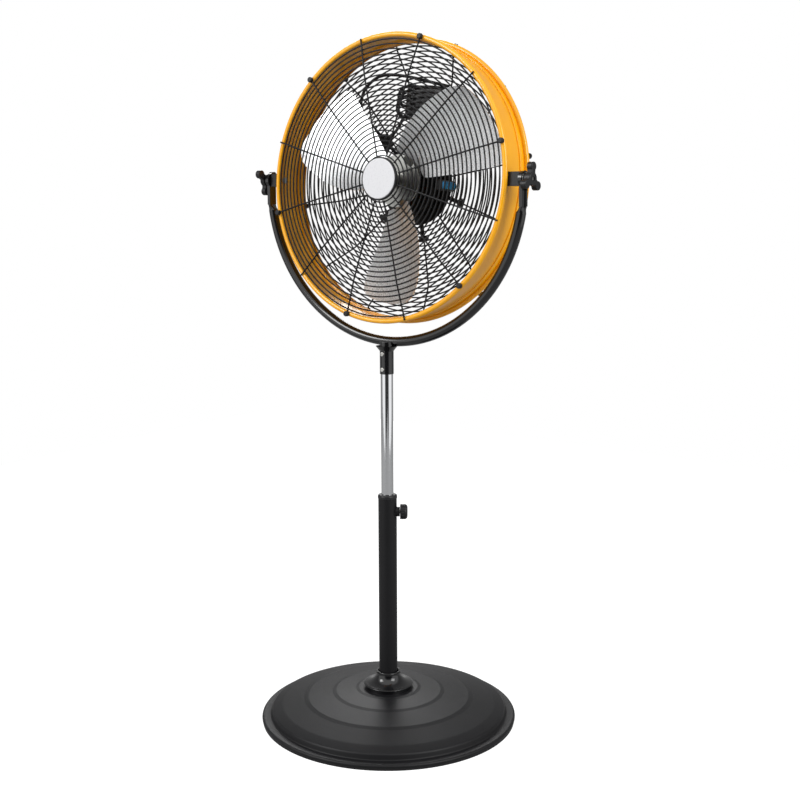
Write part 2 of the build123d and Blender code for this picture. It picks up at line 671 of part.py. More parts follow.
save("front_guard", head(make_guard(front_rim, FRONT_RISE, FRONT_INNER_R, FRONT_PHASE)))
save("rear_guard", head(make_guard(rear_rim, -REAR_RISE, REAR_INNER_R, REAR_PHASE)))
save("front_clips", *[head(make_clip(clip_seat_r, FRONT_PHASE + 60 * k, front_rim, 1)) for k in range(CLIPS)])
save("rear_clips", *[head(make_clip(clip_seat_r, REAR_PHASE + 60 * k, rear_rim, -1)) for k in range(CLIPS)])
save("badge_ring", head(make_badge_ring()))
save("badge_disc", head(make_badge()))

# ================= motor =================
motor_back = MOTOR_FRONT + MOTOR_LENGTH
motor_bore = MOTOR_R - MOTOR_WALL
spoke_back = -(rear_rim - REAR_RISE)
stator_front = MOTOR_SPLIT - STATOR_LENGTH / 2
stator_back = MOTOR_SPLIT + STATOR_LENGTH / 2
bearing_front = MOTOR_FRONT + MOTOR_WALL
bearing_back = motor_back - MOTOR_WALL


def make_motor_shell(face, split, inward):
    """Cast half shell with a bearing seat, cooling slots and four bolt ears. inward is +1 or -1."""
    inner = face + inward * MOTOR_WALL
    body = disc(MOTOR_R, -face, -split) - disc(motor_bore, -inner, -split - inward)
    body += disc(BEARING_R + 3, -face, -(inner + inward * BEARING_WIDTH))
    body -= disc(BEARING_R, -inner, -(inner + inward * (BEARING_WIDTH + 1)))
    body -= disc(SHAFT_R + 2, -face + inward, -inner - inward)
    slot = Pos(0, (face + inner) / 2, (BEARING_R + motor_bore) / 2 + 2) * Box(5, 4 * MOTOR_WALL, 26)
    for k in range(12):
        body -= turn(30 * k + 15) * slot
    for k in range(4):
        ear = Pos(0, 0, MOTOR_R + EAR_OUT - 1) * disc(EAR_R, -(split - inward * EAR_LENGTH), -split)
        hole = Pos(0, 0, MOTOR_R + EAR_OUT) * disc(2, -(split - inward * (EAR_LENGTH + 1)), -split - inward)
        body = body + turn(45 + 90 * k) * (ear - disc(motor_bore, 0, -200)) - turn(45 + 90 * k) * hole
    return body


def make_stator():
    """Laminated ring with open slots towards the rotor."""
    body = tube(motor_bore, STATOR_BORE_R, -stator_front, -stator_back)
    for k in range(SLOTS):
        cut = Pos(0, MOTOR_SPLIT, STATOR_BORE_R + SLOT_DEPTH / 2 - 1)
        body -= turn(360 / SLOTS * k) * cut * Box(SLOT_WIDTH, STATOR_LENGTH + 2, SLOT_DEPTH + 2)
    return body


def make_windings():
    """Copper coils: bars in the slots, joined by the end turns."""
    low_r = STATOR_BORE_R + 3
    high_r = STATOR_BORE_R + SLOT_DEPTH - COIL_GAP
    body = tube(high_r, low_r, -(stator_front - 8), -(stator_front - 1))
    body += tube(high_r, low_r, -(stator_back + 1), -(stator_back + 8))
    for k in range(SLOTS):
        bar = Pos(0, MOTOR_SPLIT, (low_r + high_r) / 2) * Box(
            SLOT_WIDTH - 2 * COIL_GAP, STATOR_LENGTH + 4, high_r - low_r - 1)
        body += turn(360 / SLOTS * k) * bar
    return body


def make_bearing(near):
    """Sealed bearing; the shaft turns in its bore."""
    return tube(BEARING_R, SHAFT_R + RUNNING_FIT, -near, -(near + BEARING_WIDTH))


def make_shaft():
    """Shaft from the rear bearing to the nut in front of the blades."""
    return disc(SHAFT_R, -SHAFT_FRONT, -(bearing_back - 0.5))


rear_radii = ring_radii(REAR_INNER_R)
clamp_r = (rear_radii[3] + rear_radii[4]) / 2
bracket_back = spoke_back - SPOKE_WIRE_R - WIRE_SEAT
bracket_front = bracket_back - BRACKET_THICK


def arm_angle(k):
    """Bracket arms lie on the spokes between the clips."""
    return REAR_PHASE + 30 + 360 / BRACKET_ARMS * k


def clamp_screw_place(k, side):
    """Seat of a clamp screw behind the clamp."""
    return turn(arm_angle(k)) * Pos(side * CLAMP_WIDTH * 0.32, clamp_back, clamp_r) * Rot(-90, 0, 0)


def make_bracket():
    """Pressed plate around the motor with an arm along every other spoke."""
    body = tube(BRACKET_OUTER_R, MOTOR_R, -bracket_front, -bracket_back)
    middle = (bracket_front + bracket_back) / 2
    reach = clamp_r + CLAMP_LENGTH / 2 + 2
    for k in range(BRACKET_ARMS):
        length = reach - BRACKET_OUTER_R + 4
        arm = Pos(0, middle, reach - length / 2) * Box(BRACKET_ARM_WIDTH, BRACKET_THICK, length)
        pad = Pos(0, middle, clamp_r) * Box(CLAMP_WIDTH, BRACKET_THICK, CLAMP_LENGTH + 4)
        body += turn(arm_angle(k)) * (arm + pad)
    for k in range(BRACKET_ARMS):
        for side in (-1, 1):
            body -= clamp_screw_place(k, side) * Cylinder(1.5, 30)
    seat = Pos(0, middle, CAPACITOR_SEAT_R) * Rot(90, 0, 0) * Cylinder(CAPACITOR_R, BRACKET_THICK)
    hole = Pos(0, middle, CAPACITOR_SEAT_R) * Rot(90, 0, 0) * Cylinder(CAPACITOR_STUD_R, 20)
    body += turn(CAPACITOR_ANGLE) * (seat - disc(MOTOR_R, 0, -200))
    return body - turn(CAPACITOR_ANGLE) * hole


clamp_back = spoke_back + SPOKE_WIRE_R + 3.0


def make_clamp(k):
    """Saddle that clamps a spoke to the bracket arm from behind."""
    front = bracket_back
    body = Pos(0, (front + clamp_back) / 2, clamp_r) * Box(CLAMP_WIDTH, clamp_back - front, CLAMP_LENGTH)
    body -= Pos(0, spoke_back, clamp_r) * Cylinder(SPOKE_WIRE_R + WIRE_SEAT, CLAMP_LENGTH + 2)
    body -= Pos(0, front, clamp_r) * Box(2 * (SPOKE_WIRE_R + WIRE_SEAT), 2 * SPOKE_WIRE_R, CLAMP_LENGTH + 2)
    body = turn(arm_angle(k)) * body
    for side in (-1, 1):
        body -= clamp_screw_place(k, side) * Cylinder(1.5, 30)
    return body


def make_motor_bolt(k):
    """Through bolt that holds the two half shells together."""
    place = turn(45 + 90 * k) * Pos(0, MOTOR_SPLIT + EAR_LENGTH, MOTOR_R + EAR_OUT) * Rot(-90, 0, 0)
    return place * screw(3.5, 2.4, 2.0, 2 * EAR_LENGTH)


save("motor_front_shell", head(make_motor_shell(MOTOR_FRONT, MOTOR_SPLIT, 1)))
save("motor_rear_shell", head(make_motor_shell(motor_back, MOTOR_SPLIT, -1)))
save("stator_core", head(make_stator()))
save("stator_windings", head(make_windings()))
save("motor_bearings", head(make_bearing(bearing_front)), head(make_bearing(bearing_back - BEARING_WIDTH)))
save("motor_bolts", *[head(make_motor_bolt(k)) for k in range(4)])
save("motor_bracket", head(make_bracket()))
save("bracket_clamps", *[head(make_clamp(k)) for k in range(BRACKET_ARMS)])
save("clamp_screws", *[head(clamp_screw_place(k, side) * screw(2.6, 1.8, 1.5, 8.0))
                       for k in range(BRACKET_ARMS) for side in (-1, 1)])
rotor_core = tube(STATOR_BORE_R - AIR_GAP, SHAFT_R, -stator_front, -stator_back)
save("rotor_core", head(rotor_core))
save("motor_shaft", head(make_shaft()))

# ================= blades =================


def blade_middle(radius):
    """Angle of a blade's middle line, clockwise from the top."""
    return BLADE_ANGLE + BLADE_SWEEP * radius


def blade_half(radius):
    """Half of the angle that a blade covers at a radius."""
    return BLADE_HALF_ANGLE - BLADE_TAPER * radius


def blade_point(radius, share):
    """A point of the blade's front surface; share runs from -1, trailing, to 1, leading edge."""
    grown = min(max((radius - BLADE_ROOT_R) / BLADE_ROOT_R, -0.5), 1.0)
    depth = BLADE_ROOT_DEPTH + (BLADE_DEPTH - BLADE_ROOT_DEPTH) * grown
    drop = -BLADE_CENTRE - share * depth / 2 - BLADE_CAMBER * (1 - share * share)
    return polar(radius, blade_middle(radius) + share * blade_half(radius), drop)


def blade_surface():
    """Twisted, cambered surface, a little larger than the blade."""
    radii = [26 + 18 * i for i in range(13)]
    rows = [[Vector(*blade_point(r, -1.3 + 0.26 * j)) for j in range(11)] for r in radii]
    return Face.make_surface_from_array_of_points(rows)


def edge_line(share, near, far):
    """A blade's side edge as it is seen from the front."""
    points = []
    for i in range(6):
        radius = near + (far - near) * i / 5
        x, _, z = blade_point(radius, share)
        points.append((x, z))
    return points


def front_prism(face):
    """A front-view outline carried through the head along the drum's axis."""
    return extrude(Plane.XZ * face, 150, both=True)


def corners(face, radius):
    """The corners of a front-view outline that lie at one radius."""
    return [v for v in face.vertices() if abs(sqrt(v.X ** 2 + v.Y ** 2) - radius) < 1]


def blade_outline():
    """Front view of a blade: two swept edges, the tip arc and rounded corners."""
    trailing = edge_line(-1, BLADE_ROOT_R, BLADE_TIP_R)
    leading = edge_line(1, BLADE_ROOT_R, BLADE_TIP_R)
    mid = radians(blade_middle(BLADE_TIP_R))
    root = radians(blade_middle(BLADE_ROOT_R))
    tip = ThreePointArc(trailing[-1], (BLADE_TIP_R * sin(mid), BLADE_TIP_R * cos(mid)), leading[-1])
    foot = ThreePointArc(leading[0], (BLADE_ROOT_R * sin(root), BLADE_ROOT_R * cos(root)), trailing[0])
    face = make_face(Spline(*trailing) + tip + Spline(*leading[::-1]) + foot)
    face = fillet(corners(face, BLADE_TIP_R), BLADE_CORNER)
    return fillet(corners(face, BLADE_ROOT_R), BLADE_CORNER / 3)


def tab_outline():
    """Front view of a hub tab: a strip from inside the plate out along the blade's middle line."""
    near = HUB_PLATE_R - 12
    length = HUB_TAB_R - near
    strip = RectangleRounded(HUB_TAB_WIDTH, length, 8)
    return Rot(0, 0, -blade_middle(HUB_PLATE_R)) * Pos(0, near + length / 2, 0) * strip


def rivet_place(k, radius, side):
    """Frame of a rivet on blade k, its Z leaving the blade's front; side is in millimetres."""
    share = degrees(side / radius) / blade_half(radius)
    here = Vector(*blade_point(radius, share))
    out = Vector(*blade_point(radius + 1, share)) - here
    across = Vector(*blade_point(radius, share + 0.01)) - here
    normal = across.cross(out)
    if normal.Y > 0:
        normal = -normal
    return turn(360 / BLADES * k) * Plane(origin=here, z_dir=normal).location


surface = blade_surface()
rivet_seats = [(66.0, 0.0), (82.0, -11.0), (82.0, 11.0)]
plate_seat = -HUB_PLATE_BACK
boss_front = plate_seat + HUB_PLATE_THICK + HUB_BOSS_LENGTH / 2
boss_back = boss_front - HUB_BOSS_LENGTH


def make_blade(k):
    """Pressed aluminium blade lying on the front of its hub tab."""
    body = thicken(surface, -BLADE_THICK) & front_prism(blade_outline())
    body = turn(360 / BLADES * k) * body
    for radius, side in rivet_seats:
        body -= rivet_place(k, radius, side) * Cylinder(RIVET_R, 20)
    return body


def make_hub():
    """Hub: boss, round plate and a twisted tab under each blade."""
    body = disc(HUB_PLATE_R, plate_seat + HUB_PLATE_THICK, plate_seat)
    body += disc(HUB_BOSS_R, boss_front, boss_back)
    tab = thicken(surface, HUB_TAB_THICK) & front_prism(tab_outline())
    for k in range(BLADES):
        body += turn(360 / BLADES * k) * tab
    for k in range(BLADES):
        for radius, side in rivet_seats:
            body -= rivet_place(k, radius, side) * Cylinder(RIVET_R, 20)
    return body - disc(SHAFT_R, 0, -80)


def make_rivet(k, radius, side, blade, hub):
    """Rivet with a domed head on the blade and a flat tail under the tab."""
    top = BLADE_THICK + 1.6
    cap = Pos(0, 0, (top + BLADE_THICK - 1) / 2) * Cylinder(RIVET_HEAD_R, top - BLADE_THICK + 1)
    cap = fillet(cap.edges().group_by(Axis.Z)[-1], 1.2)
    tail = -HUB_TAB_THICK - 1.2
    body = cap + Pos(0, 0, (top + tail) / 2 - 0.5) * Cylinder(RIVET_R, top - tail - 1)
    body += Pos(0, 0, tail + 1.0) * Cylinder(RIVET_HEAD_R - 0.7, 2.0)
    body = rivet_place(k, radius, side) * body - blade - hub
    return body.solids().sort_by(SortBy.VOLUME)[-1]


blades = [make_blade(k) for k in range(BLADES)]
hub = make_hub()
for k in range(BLADES):
    save(f"blade_{k + 1}", head(blades[k]))
save("blade_hub", head(hub))
save("blade_rivets", *[head(make_rivet(k, radius, side, blades[k], hub))
                       for k in range(BLADES) for radius, side in rivet_seats])
nut = hexagon_bar(SHAFT_R + 3, 6) - Cylinder(SHAFT_R, 20)
save("hub_nut", head(Pos(0, -boss_front, 0) * Rot(90, 0, 0) * nut))

# ================= capacitor, switch =================
can_place = turn(CAPACITOR_ANGLE) * Pos(0, bracket_front, CAPACITOR_SEAT_R)


def make_capacitor():
    """Run capacitor: a round can with a beaded rim and a stud through the bracket."""
    can = Pos(0, -CAPACITOR_LENGTH / 2, 0) * Rot(90, 0, 0) * Cylinder(CAPACITOR_R, CAPACITOR_LENGTH)
    can = fillet(can.edges().filter_by(GeomType.CIRCLE), 1.5)
    stud = Pos(0, (BRACKET_THICK + 3) / 2, 0) * Rot(90, 0, 0) * Cylinder(CAPACITOR_STUD_R, BRACKET_THICK + 3)
    return can_place * (can + stud)


def make_switch_housing():
    """Moulded box on the back of the motor, open towards it, with the knob's hole."""
    width, depth, height = SWITCH_BOX
    body = Pos(0, motor_back + depth / 2, 0) * Box(width, depth, height)
    body = fillet(body.edges().group_by(Axis.Y)[-1], 3.0)
    body -= Pos(0, motor_back + depth / 2 - SWITCH_WALL, 0) * Box(
        width - 2 * SWITCH_WALL, depth, height - 2 * SWITCH_WALL)
    return body - Pos(0, motor_back + depth, 0) * Rot(90, 0, 0) * Cylinder(SWITCH_NECK_R, 10)


def make_rotary_switch():
    """Switch body under the cover, its neck through the hole."""
    width, depth, height = SWITCH_BOX
    front = motor_back + 0.5
    back = motor_back + depth - SWITCH_WALL
    body = Pos(0, (front + back) / 2, 0) * Box(width / 2, back - front, height / 2)
    body += Pos(0, back + SWITCH_WALL / 2, 0) * Rot(90, 0, 0) * Cylinder(SWITCH_NECK_R, SWITCH_WALL)
    return body - Pos(0, back, 0) * Rot(90, 0, 0) * Cylinder(SWITCH_SHAFT_R + RUNNING_FIT, 16)


def make_speed_knob():
    """Pointer knob with its shaft; it turns through four positions."""
    seat = motor_back + SWITCH_BOX[1] + 0.5
    knob = Pos(0, 0, SPEED_KNOB_LENGTH / 2) * Cylinder(SPEED_KNOB_R, SPEED_KNOB_LENGTH)
    knob = fillet(knob.edges().group_by(Axis.Z)[-1], 1.5)
    for side in (-1, 1):
        knob -= Pos(side * (SPEED_KNOB_R / 2 + 3), 0, SPEED_KNOB_LENGTH) * Box(
            SPEED_KNOB_R, 3 * SPEED_KNOB_R, SPEED_KNOB_LENGTH + 2)
    knob += Pos(0, 0, -3) * Cylinder(SWITCH_SHAFT_R, 8)
    return Pos(0, seat, 0) * Rot(-90, 0, 0) * knob


save("run_capacitor", head(make_capacitor()))
save("capacitor_nut", head(can_place * Pos(0, BRACKET_THICK, 0) * Rot(-90, 0, 0) * (
    hexagon_bar(5.0, 2.5) - Cylinder(CAPACITOR_STUD_R, 20))))
save("switch_housing", head(make_switch_housing()))
save("rotary_switch", head(make_rotary_switch()))
save("speed_knob", head(make_speed_knob()))

# ================= cord =================
cord_y = motor_back - GLAND_R - 3
hank_y = cord_y + (HANK_THICK - 2 * CORD_R) / 2


def bend_radii(points):
    """Radius at each corner: the tangent arcs use 0.45 of the shorter run."""
    radii = []
    for before, here, after in zip(points, points[1:], points[2:]):
        a = Vector(*here) - Vector(*before)
        b = Vector(*after) - Vector(*here)
        half = radians(a.get_angle(b)) / 2
        radii.append(0.45 * min(a.length, b.length) / tan(half))
    return radii


def make_cord(points):
    """Round cord through straight runs and tangent arcs."""
    radii = bend_radii(points)
    print("cord radii", [round(r, 1) for r in radii])
    path = FilletPolyline(*points, radius=radii)
    start = Plane(origin=points[0], z_dir=Vector(*points[1]) - Vector(*points[0]))
    print("cord length", round(path.length, 1))
    return sweep(start * Circle(CORD_R), path=path)


def make_gland():
    """Screwed gland in the side of the rear motor shell."""
    body = Pos(0, 0, GLAND_LENGTH / 2) * Cylinder(GLAND_R, GLAND_LENGTH)
    body = fillet(body.edges().group_by(Axis.Z)[-1], 2.0)
    body += Pos(0, 0, 2) * hexagon_bar(GLAND_R + 1.5, 5)
    place = turn(GLAND_ANGLE) * Pos(0, cord_y, MOTOR_R - 1)
    return place * body - disc(MOTOR_R, 0, -motor_back - 5)


def make_hank():
    """The wound and tied length of the cord: the outer shape of its turns."""
    body = extrude(Plane.XZ * SlotOverall(HANK_LENGTH, HANK_HEIGHT), HANK_THICK / 2, both=True)
    body = fillet(body.edges().group_by(Axis.Y)[0] + body.edges().group_by(Axis.Y)[-1], CORD_R - 0.2)
    return hank_place * body


gland_end = MOTOR_R - 1 + GLAND_LENGTH
hank_place = Pos(HANK_CENTRE[0], hank_y, HANK_CENTRE[1]) * Rot(0, HANK_LEAN, 0)
start_x, _, start_z = polar(gland_end, GLAND_ANGLE, 0)
elbow_x, _, elbow_z = polar(CORD_ELBOW_R, GLAND_ANGLE, 0)
lead_points = [(start_x, cord_y, start_z), (elbow_x, cord_y, elbow_z)]
lead_points += [(x, cord_y, z) for x, z in CORD_LOOP]
tail_points = [(x, hank_y + back, z) for x, back, z in CORD_TAIL]
plug_from = Vector(*tail_points[-1])
plug_axis = (plug_from - Vector(*tail_points[-2])).normalized()
plug_plane = Plane(origin=plug_from, x_dir=(0, 1, 0), z_dir=plug_axis)


def make_plug():
    """Moulded mains plug: strain relief, body and two round pins."""
    body = Pos(0, 0, 9) * Cone(CORD_R + 1, CORD_R + 3, 18)
    body += Pos(0, 0, 36) * Box(24, 30, 36)
    body = fillet(body.edges().filter_by(Axis.Z), 5.0)
    for side in (-1, 1):
        body += Pos(0, side * 9.5, 63) * Cylinder(2.4, 19)
    return plug_plane.location * body


def make_tie(x, size, thick, width):
    """A cable tie: a flat square loop around the hank."""
    loop = RectangleRounded(size + 2 * thick, width + 2 * thick, 3) - RectangleRounded(size, width, 2)
    return Pos(x, 0, 0) * Rot(0, 90, 0) * extrude(loop, TIE_WIDTH / 2, both=True)


hank = make_hank()
save("cord_gland", head(make_gland()))
save("power_cord", head(make_cord(lead_points) - hank))
save("cord_tail", head(make_cord(tail_points) - hank))
save("cord_hank", head(hank))
save("power_plug", head(make_plug()))
save("cord_ties", *[head(hank_place * make_tie(x, HANK_HEIGHT, 1.2, HANK_THICK))
                    for x in (-HANK_LENGTH / 5, HANK_LENGTH / 5)])
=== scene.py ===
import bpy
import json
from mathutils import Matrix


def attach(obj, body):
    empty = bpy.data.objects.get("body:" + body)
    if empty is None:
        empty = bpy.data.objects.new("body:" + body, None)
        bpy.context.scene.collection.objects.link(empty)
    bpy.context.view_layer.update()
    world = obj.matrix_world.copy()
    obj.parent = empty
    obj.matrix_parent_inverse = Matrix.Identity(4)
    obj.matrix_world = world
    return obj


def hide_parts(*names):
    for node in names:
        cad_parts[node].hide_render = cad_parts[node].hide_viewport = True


bl_info = {
    "name": "Pedestal drum fan",
    "version": (1, 0, 0),
    "blender": (4, 5, 0),
    "location": "View3D > Sidebar > Fan",
    "description": "Builds the visible pieces and finishes of a pedestal drum fan around its packed frame",
    "category": "Add Mesh",
}

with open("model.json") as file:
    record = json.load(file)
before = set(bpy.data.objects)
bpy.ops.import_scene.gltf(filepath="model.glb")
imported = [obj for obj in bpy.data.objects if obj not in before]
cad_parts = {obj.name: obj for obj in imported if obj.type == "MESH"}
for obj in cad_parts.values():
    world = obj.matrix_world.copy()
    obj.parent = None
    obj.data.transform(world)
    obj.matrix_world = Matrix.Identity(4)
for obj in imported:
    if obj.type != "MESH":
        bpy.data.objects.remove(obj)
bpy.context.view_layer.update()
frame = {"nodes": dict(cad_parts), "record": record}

import json
from math import cos, pi, radians, sin, sqrt, tan

import bmesh
import bpy
from bpy.props import FloatProperty, PointerProperty, StringProperty
from mathutils import Matrix, Vector

MM = 0.001

# The head's own frame: the drum's axis runs along Y and the tilt axis is X.
PIVOT = Vector((0.0, 8.0, 1112.0)) * MM
TILT = radians(-4.5)
HEAD = Matrix.Translation(PIVOT) @ Matrix.Rotation(TILT, 4, "X")


# ================= sizes and colours =================

class FanSizes(bpy.types.PropertyGroup):
    """Sizes that the pieces are built from."""

    sheet: FloatProperty(name="Drum sheet", description="Thickness of the drum's sheet metal",
                         default=1.2 * MM, unit="LENGTH")
    bead: FloatProperty(name="Bead radius", description="Radius of the rolled bead at each rim of the drum",
                        default=5.2 * MM, unit="LENGTH")
    drum: FloatProperty(name="Drum radius", description="Outer radius of the drum over its beads",
                        default=283.0 * MM, unit="LENGTH")
    base_sheet: FloatProperty(name="Base sheet", description="Thickness of the base's pressed steel",
                              default=1.5 * MM, unit="LENGTH")
    cord: FloatProperty(name="Cord diameter", description="Diameter of the round mains cord",
                        default=6.5 * MM, unit="LENGTH")
    lens: FloatProperty(name="Lens", description="Focal length of the camera in millimetres",
                        default=57.66, min=1.0)


class FanColours(bpy.types.PropertyGroup):
    """Colours of the finishes, as sRGB hex values."""

    drum: StringProperty(name="Drum paint", description="Powder coat of the drum", default="#FFB000")
    black: StringProperty(name="Black paint", description="Black paint of the base, tube and wires",
                          default="#131315")
    badge: StringProperty(name="Badge", description="Moulded disc in the middle of the front guard",
                          default="#DDDDE0")
    capacitor: StringProperty(name="Capacitor", description="Moulded can of the run capacitor",
                              default="#1E8FD0")


def sizes():
    """The fan's size settings."""
    return bpy.context.scene.fan_sizes


def colours():
    """The fan's colour settings."""
    return bpy.context.scene.fan_colours


# ================= materials =================

def linear(text):
    """Turn an sRGB hex colour into the linear values that a shader takes."""
    values = [int(text[i:i + 2], 16) / 255 for i in (1, 3, 5)]
    return tuple(v / 12.92 if v <= 0.04045 else ((v + 0.055) / 1.055) ** 2.4 for v in values) + (1.0,)


def add_node(tree, kind, values=None, links=None, **settings):
    """Add a node, set its options and input values, and link outputs to its inputs."""
    node = tree.nodes.new(kind)
    for key, value in settings.items():
        setattr(node, key, value)
    for key, value in (values or {}).items():
        node.inputs[key].default_value = value
    for key, output in (links or {}).items():
        tree.links.new(output, node.inputs[key])
    return node


def shade(colour, factor):
    """A lighter or darker version of a linear colour."""
    return tuple(min(v * factor, 1.0) for v in colour[:3]) + (1.0,)


# How wide the soft drift of a colour is, and how far the grain moves the roughness to each side.
DRIFT_MM = 60.0
GLOSS_SPREAD = 0.15
COAT_ROUGHNESS = 0.06


def finish(name, colour, metallic, roughness, grain_mm, depth_mm, spread=0.06, coat=0.0,
           stretch=(1, 1, 1), mirror=0.5):
    """One procedural finish: fine grain in the bump and roughness, and a soft drift in the colour."""
    if name in bpy.data.materials:
        return bpy.data.materials[name]
    material = bpy.data.materials.new(name)
    material.use_nodes = True
    tree = material.node_tree
    shader = tree.nodes["Principled BSDF"]
    shader.inputs["Metallic"].default_value = metallic
    shader.inputs["Specular IOR Level"].default_value = mirror
    shader.inputs["Coat Weight"].default_value = coat
    shader.inputs["Coat Roughness"].default_value = COAT_ROUGHNESS
    place = add_node(tree, "ShaderNodeTexCoord")
    lay = add_node(tree, "ShaderNodeMapping", {"Scale": stretch}, {"Vector": place.outputs["Object"]})
    grain = add_node(tree, "ShaderNodeTexNoise", {"Scale": 1.0 / (grain_mm * MM), "Detail": 3.0},
                     {"Vector": lay.outputs["Vector"]})
    drift = add_node(tree, "ShaderNodeTexNoise", {"Scale": 1.0 / (DRIFT_MM * MM), "Detail": 2.0},
                     {"Vector": place.outputs["Object"]})
    tint = add_node(tree, "ShaderNodeValToRGB", links={"Fac": drift.outputs["Fac"]})
    tint.color_ramp.elements[0].position = 0.3
    tint.color_ramp.elements[1].position = 0.7
    tint.color_ramp.elements[0].color = shade(colour, 1.0 - spread)
    tint.color_ramp.elements[1].color = shade(colour, 1.0 + spread)
    tree.links.new(tint.outputs["Color"], shader.inputs["Base Color"])
    gloss = add_node(tree, "ShaderNodeMapRange",
                     {"To Min": roughness * (1 - GLOSS_SPREAD), "To Max": roughness * (1 + GLOSS_SPREAD)},
                     {"Value": grain.outputs["Fac"]})
    tree.links.new(gloss.outputs["Result"], shader.inputs["Roughness"])
    relief = add_node(tree, "ShaderNodeBump", {"Strength": 0.5, "Distance": depth_mm * MM},
                      {"Height": grain.outputs["Fac"]})
    tree.links.new(relief.outputs["Normal"], shader.inputs["Normal"])
    return material


def drum_powder_coat():
    """Yellow gloss powder coat: a warm, even colour with a faint orange peel 2 mm across."""
    return finish("drum_powder_coat", linear(colours().drum),
                  metallic=0.0, roughness=0.3, grain_mm=2.0, depth_mm=0.03, spread=0.05, coat=0.35)


def satin_black_coat():
    """Satin black powder coat: nearly even, with a fine pebble that softens the highlights."""
    return finish("satin_black_coat", linear(colours().black),
                  metallic=0.0, roughness=0.46, grain_mm=1.2, depth_mm=0.03, spread=0.12, mirror=0.28)


def gloss_black_enamel():
    """Gloss black enamel on the bent yoke and the collar: sharp highlights on a deep black."""
    return finish("gloss_black_enamel", linear("#0C0C0E"),
                  metallic=0.0, roughness=0.16, grain_mm=3.0, depth_mm=0.01, spread=0.1, coat=0.3)


def bright_chrome():
    """Chrome plate on the sliding tube: a clear mirror with very faint drawing lines along it."""
    return finish("bright_chrome", linear("#DADBDD"),
                  metallic=1.0, roughness=0.07, grain_mm=0.8, depth_mm=0.003, spread=0.02,
                  stretch=(1, 1, 0.02))


def zinc_plate():
    """Zinc plate on screws and nuts: a dull silver with cloudy crystals."""
    return finish("zinc_plate", linear("#B8B8B4"),
                  metallic=1.0, roughness=0.33, grain_mm=1.0, depth_mm=0.02, spread=0.15)


def grey_iron():
    """Painted grey iron of the ballast: rough sand-cast skin."""
    return finish("grey_iron", linear("#2A2A2C"),
                  metallic=0.3, roughness=0.6, grain_mm=2.5, depth_mm=0.25, spread=0.2)


def polished_aluminium():
    """Rolled aluminium of the blades under a pale clear coat: a soft, milky mirror with a rolling grain."""
    return finish("polished_aluminium", linear("#F2F4F6"),
                  metallic=0.7, roughness=0.28, grain_mm=0.7, depth_mm=0.006, spread=0.04,
                  stretch=(1, 1, 0.06))


def motor_alloy():
    """Black painted die-cast alloy of the motor shells: a sandy skin."""
    return finish("motor_alloy", linear("#141416"),
                  metallic=0.0, roughness=0.42, grain_mm=1.5, depth_mm=0.08, spread=0.15, mirror=0.3)


def lamination_steel():
    """Stacked steel laminations: fine lines across the stack, 0.5 mm apart."""
    return finish("lamination_steel", linear("#8C8C90"),
                  metallic=1.0, roughness=0.36, grain_mm=0.5, depth_mm=0.02, spread=0.1,
                  stretch=(0.05, 1, 0.05))


def enamelled_copper():
    """Varnished copper wire: reddish, with the lines of its turns."""
    return finish("enamelled_copper", linear("#B5622C"),
                  metallic=1.0, roughness=0.3, grain_mm=0.9, depth_mm=0.1, spread=0.15, coat=0.2,
                  stretch=(0.1, 1, 0.1))


def turned_brass():
    """Turned brass of the knobs' inserts."""
    return finish("turned_brass", linear("#C9A45C"),
                  metallic=1.0, roughness=0.28, grain_mm=0.6, depth_mm=0.01)


def black_moulding():
    """Moulded black plastic of knobs, clips and covers: a fine spark-eroded grain, 0.8 mm."""
    return finish("black_moulding", linear("#19191B"),
                  metallic=0.0, roughness=0.4, grain_mm=0.8, depth_mm=0.03, spread=0.1, mirror=0.35)


def black_nylon():
    """Black nylon and film of the bushes and the cord's sleeve: smooth and waxy."""
    return finish("black_nylon", linear("#202022"),
                  metallic=0.0, roughness=0.33, grain_mm=1.5, depth_mm=0.01, spread=0.08, mirror=0.35)


def white_moulding():
    """White gloss plastic of the badge: clean, with the faintest flow marks."""
    return finish("white_moulding", linear(colours().badge),
                  metallic=0.0, roughness=0.28, grain_mm=3.0, depth_mm=0.01, spread=0.015, coat=0.3)


# Where the capacitor can turns from near-black to blue, across the fan.
CAN_BLUE_EDGE = (91.8, 92.2)


def blue_moulding():
    """Blue moulded can of the capacitor, coloured near-black over all but its outer end."""
    if "blue_moulding" in bpy.data.materials:
        return bpy.data.materials["blue_moulding"]
    can = finish("blue_moulding", linear(colours().capacitor),
                 metallic=0.0, roughness=0.35, grain_mm=1.0, depth_mm=0.02)
    tree = can.node_tree
    shader = tree.nodes["Principled BSDF"]
    blue = shader.inputs["Base Color"].links[0].from_socket
    place = add_node(tree, "ShaderNodeTexCoord")
    across = add_node(tree, "ShaderNodeSeparateXYZ", links={"Vector": place.outputs["Object"]})
    # The can is near-black short of this edge across the fan and blue beyond it.
    blue_share = add_node(tree, "ShaderNodeMapRange",
                    {"From Min": CAN_BLUE_EDGE[0] * MM, "From Max": CAN_BLUE_EDGE[1] * MM},
                    {"Value": across.outputs["X"]})
    # Sockets 6 and 7 of a Mix node are its two colours, and 2 is its colour output.
    tint = add_node(tree, "ShaderNodeMix", {6: linear("#121214")},
                    {"Factor": blue_share.outputs["Result"], 7: blue}, data_type="RGBA")
    tree.links.new(tint.outputs[2], shader.inputs["Base Color"])
    return can


def black_rubber():
    """Black rubber and soft vinyl of the cord, plug and floor ring: matte with a dusty bloom."""
    return finish("black_rubber", linear("#1D1D1F"),
                  metallic=0.0, roughness=0.5, grain_mm=1.0, depth_mm=0.04, spread=0.15, mirror=0.35)


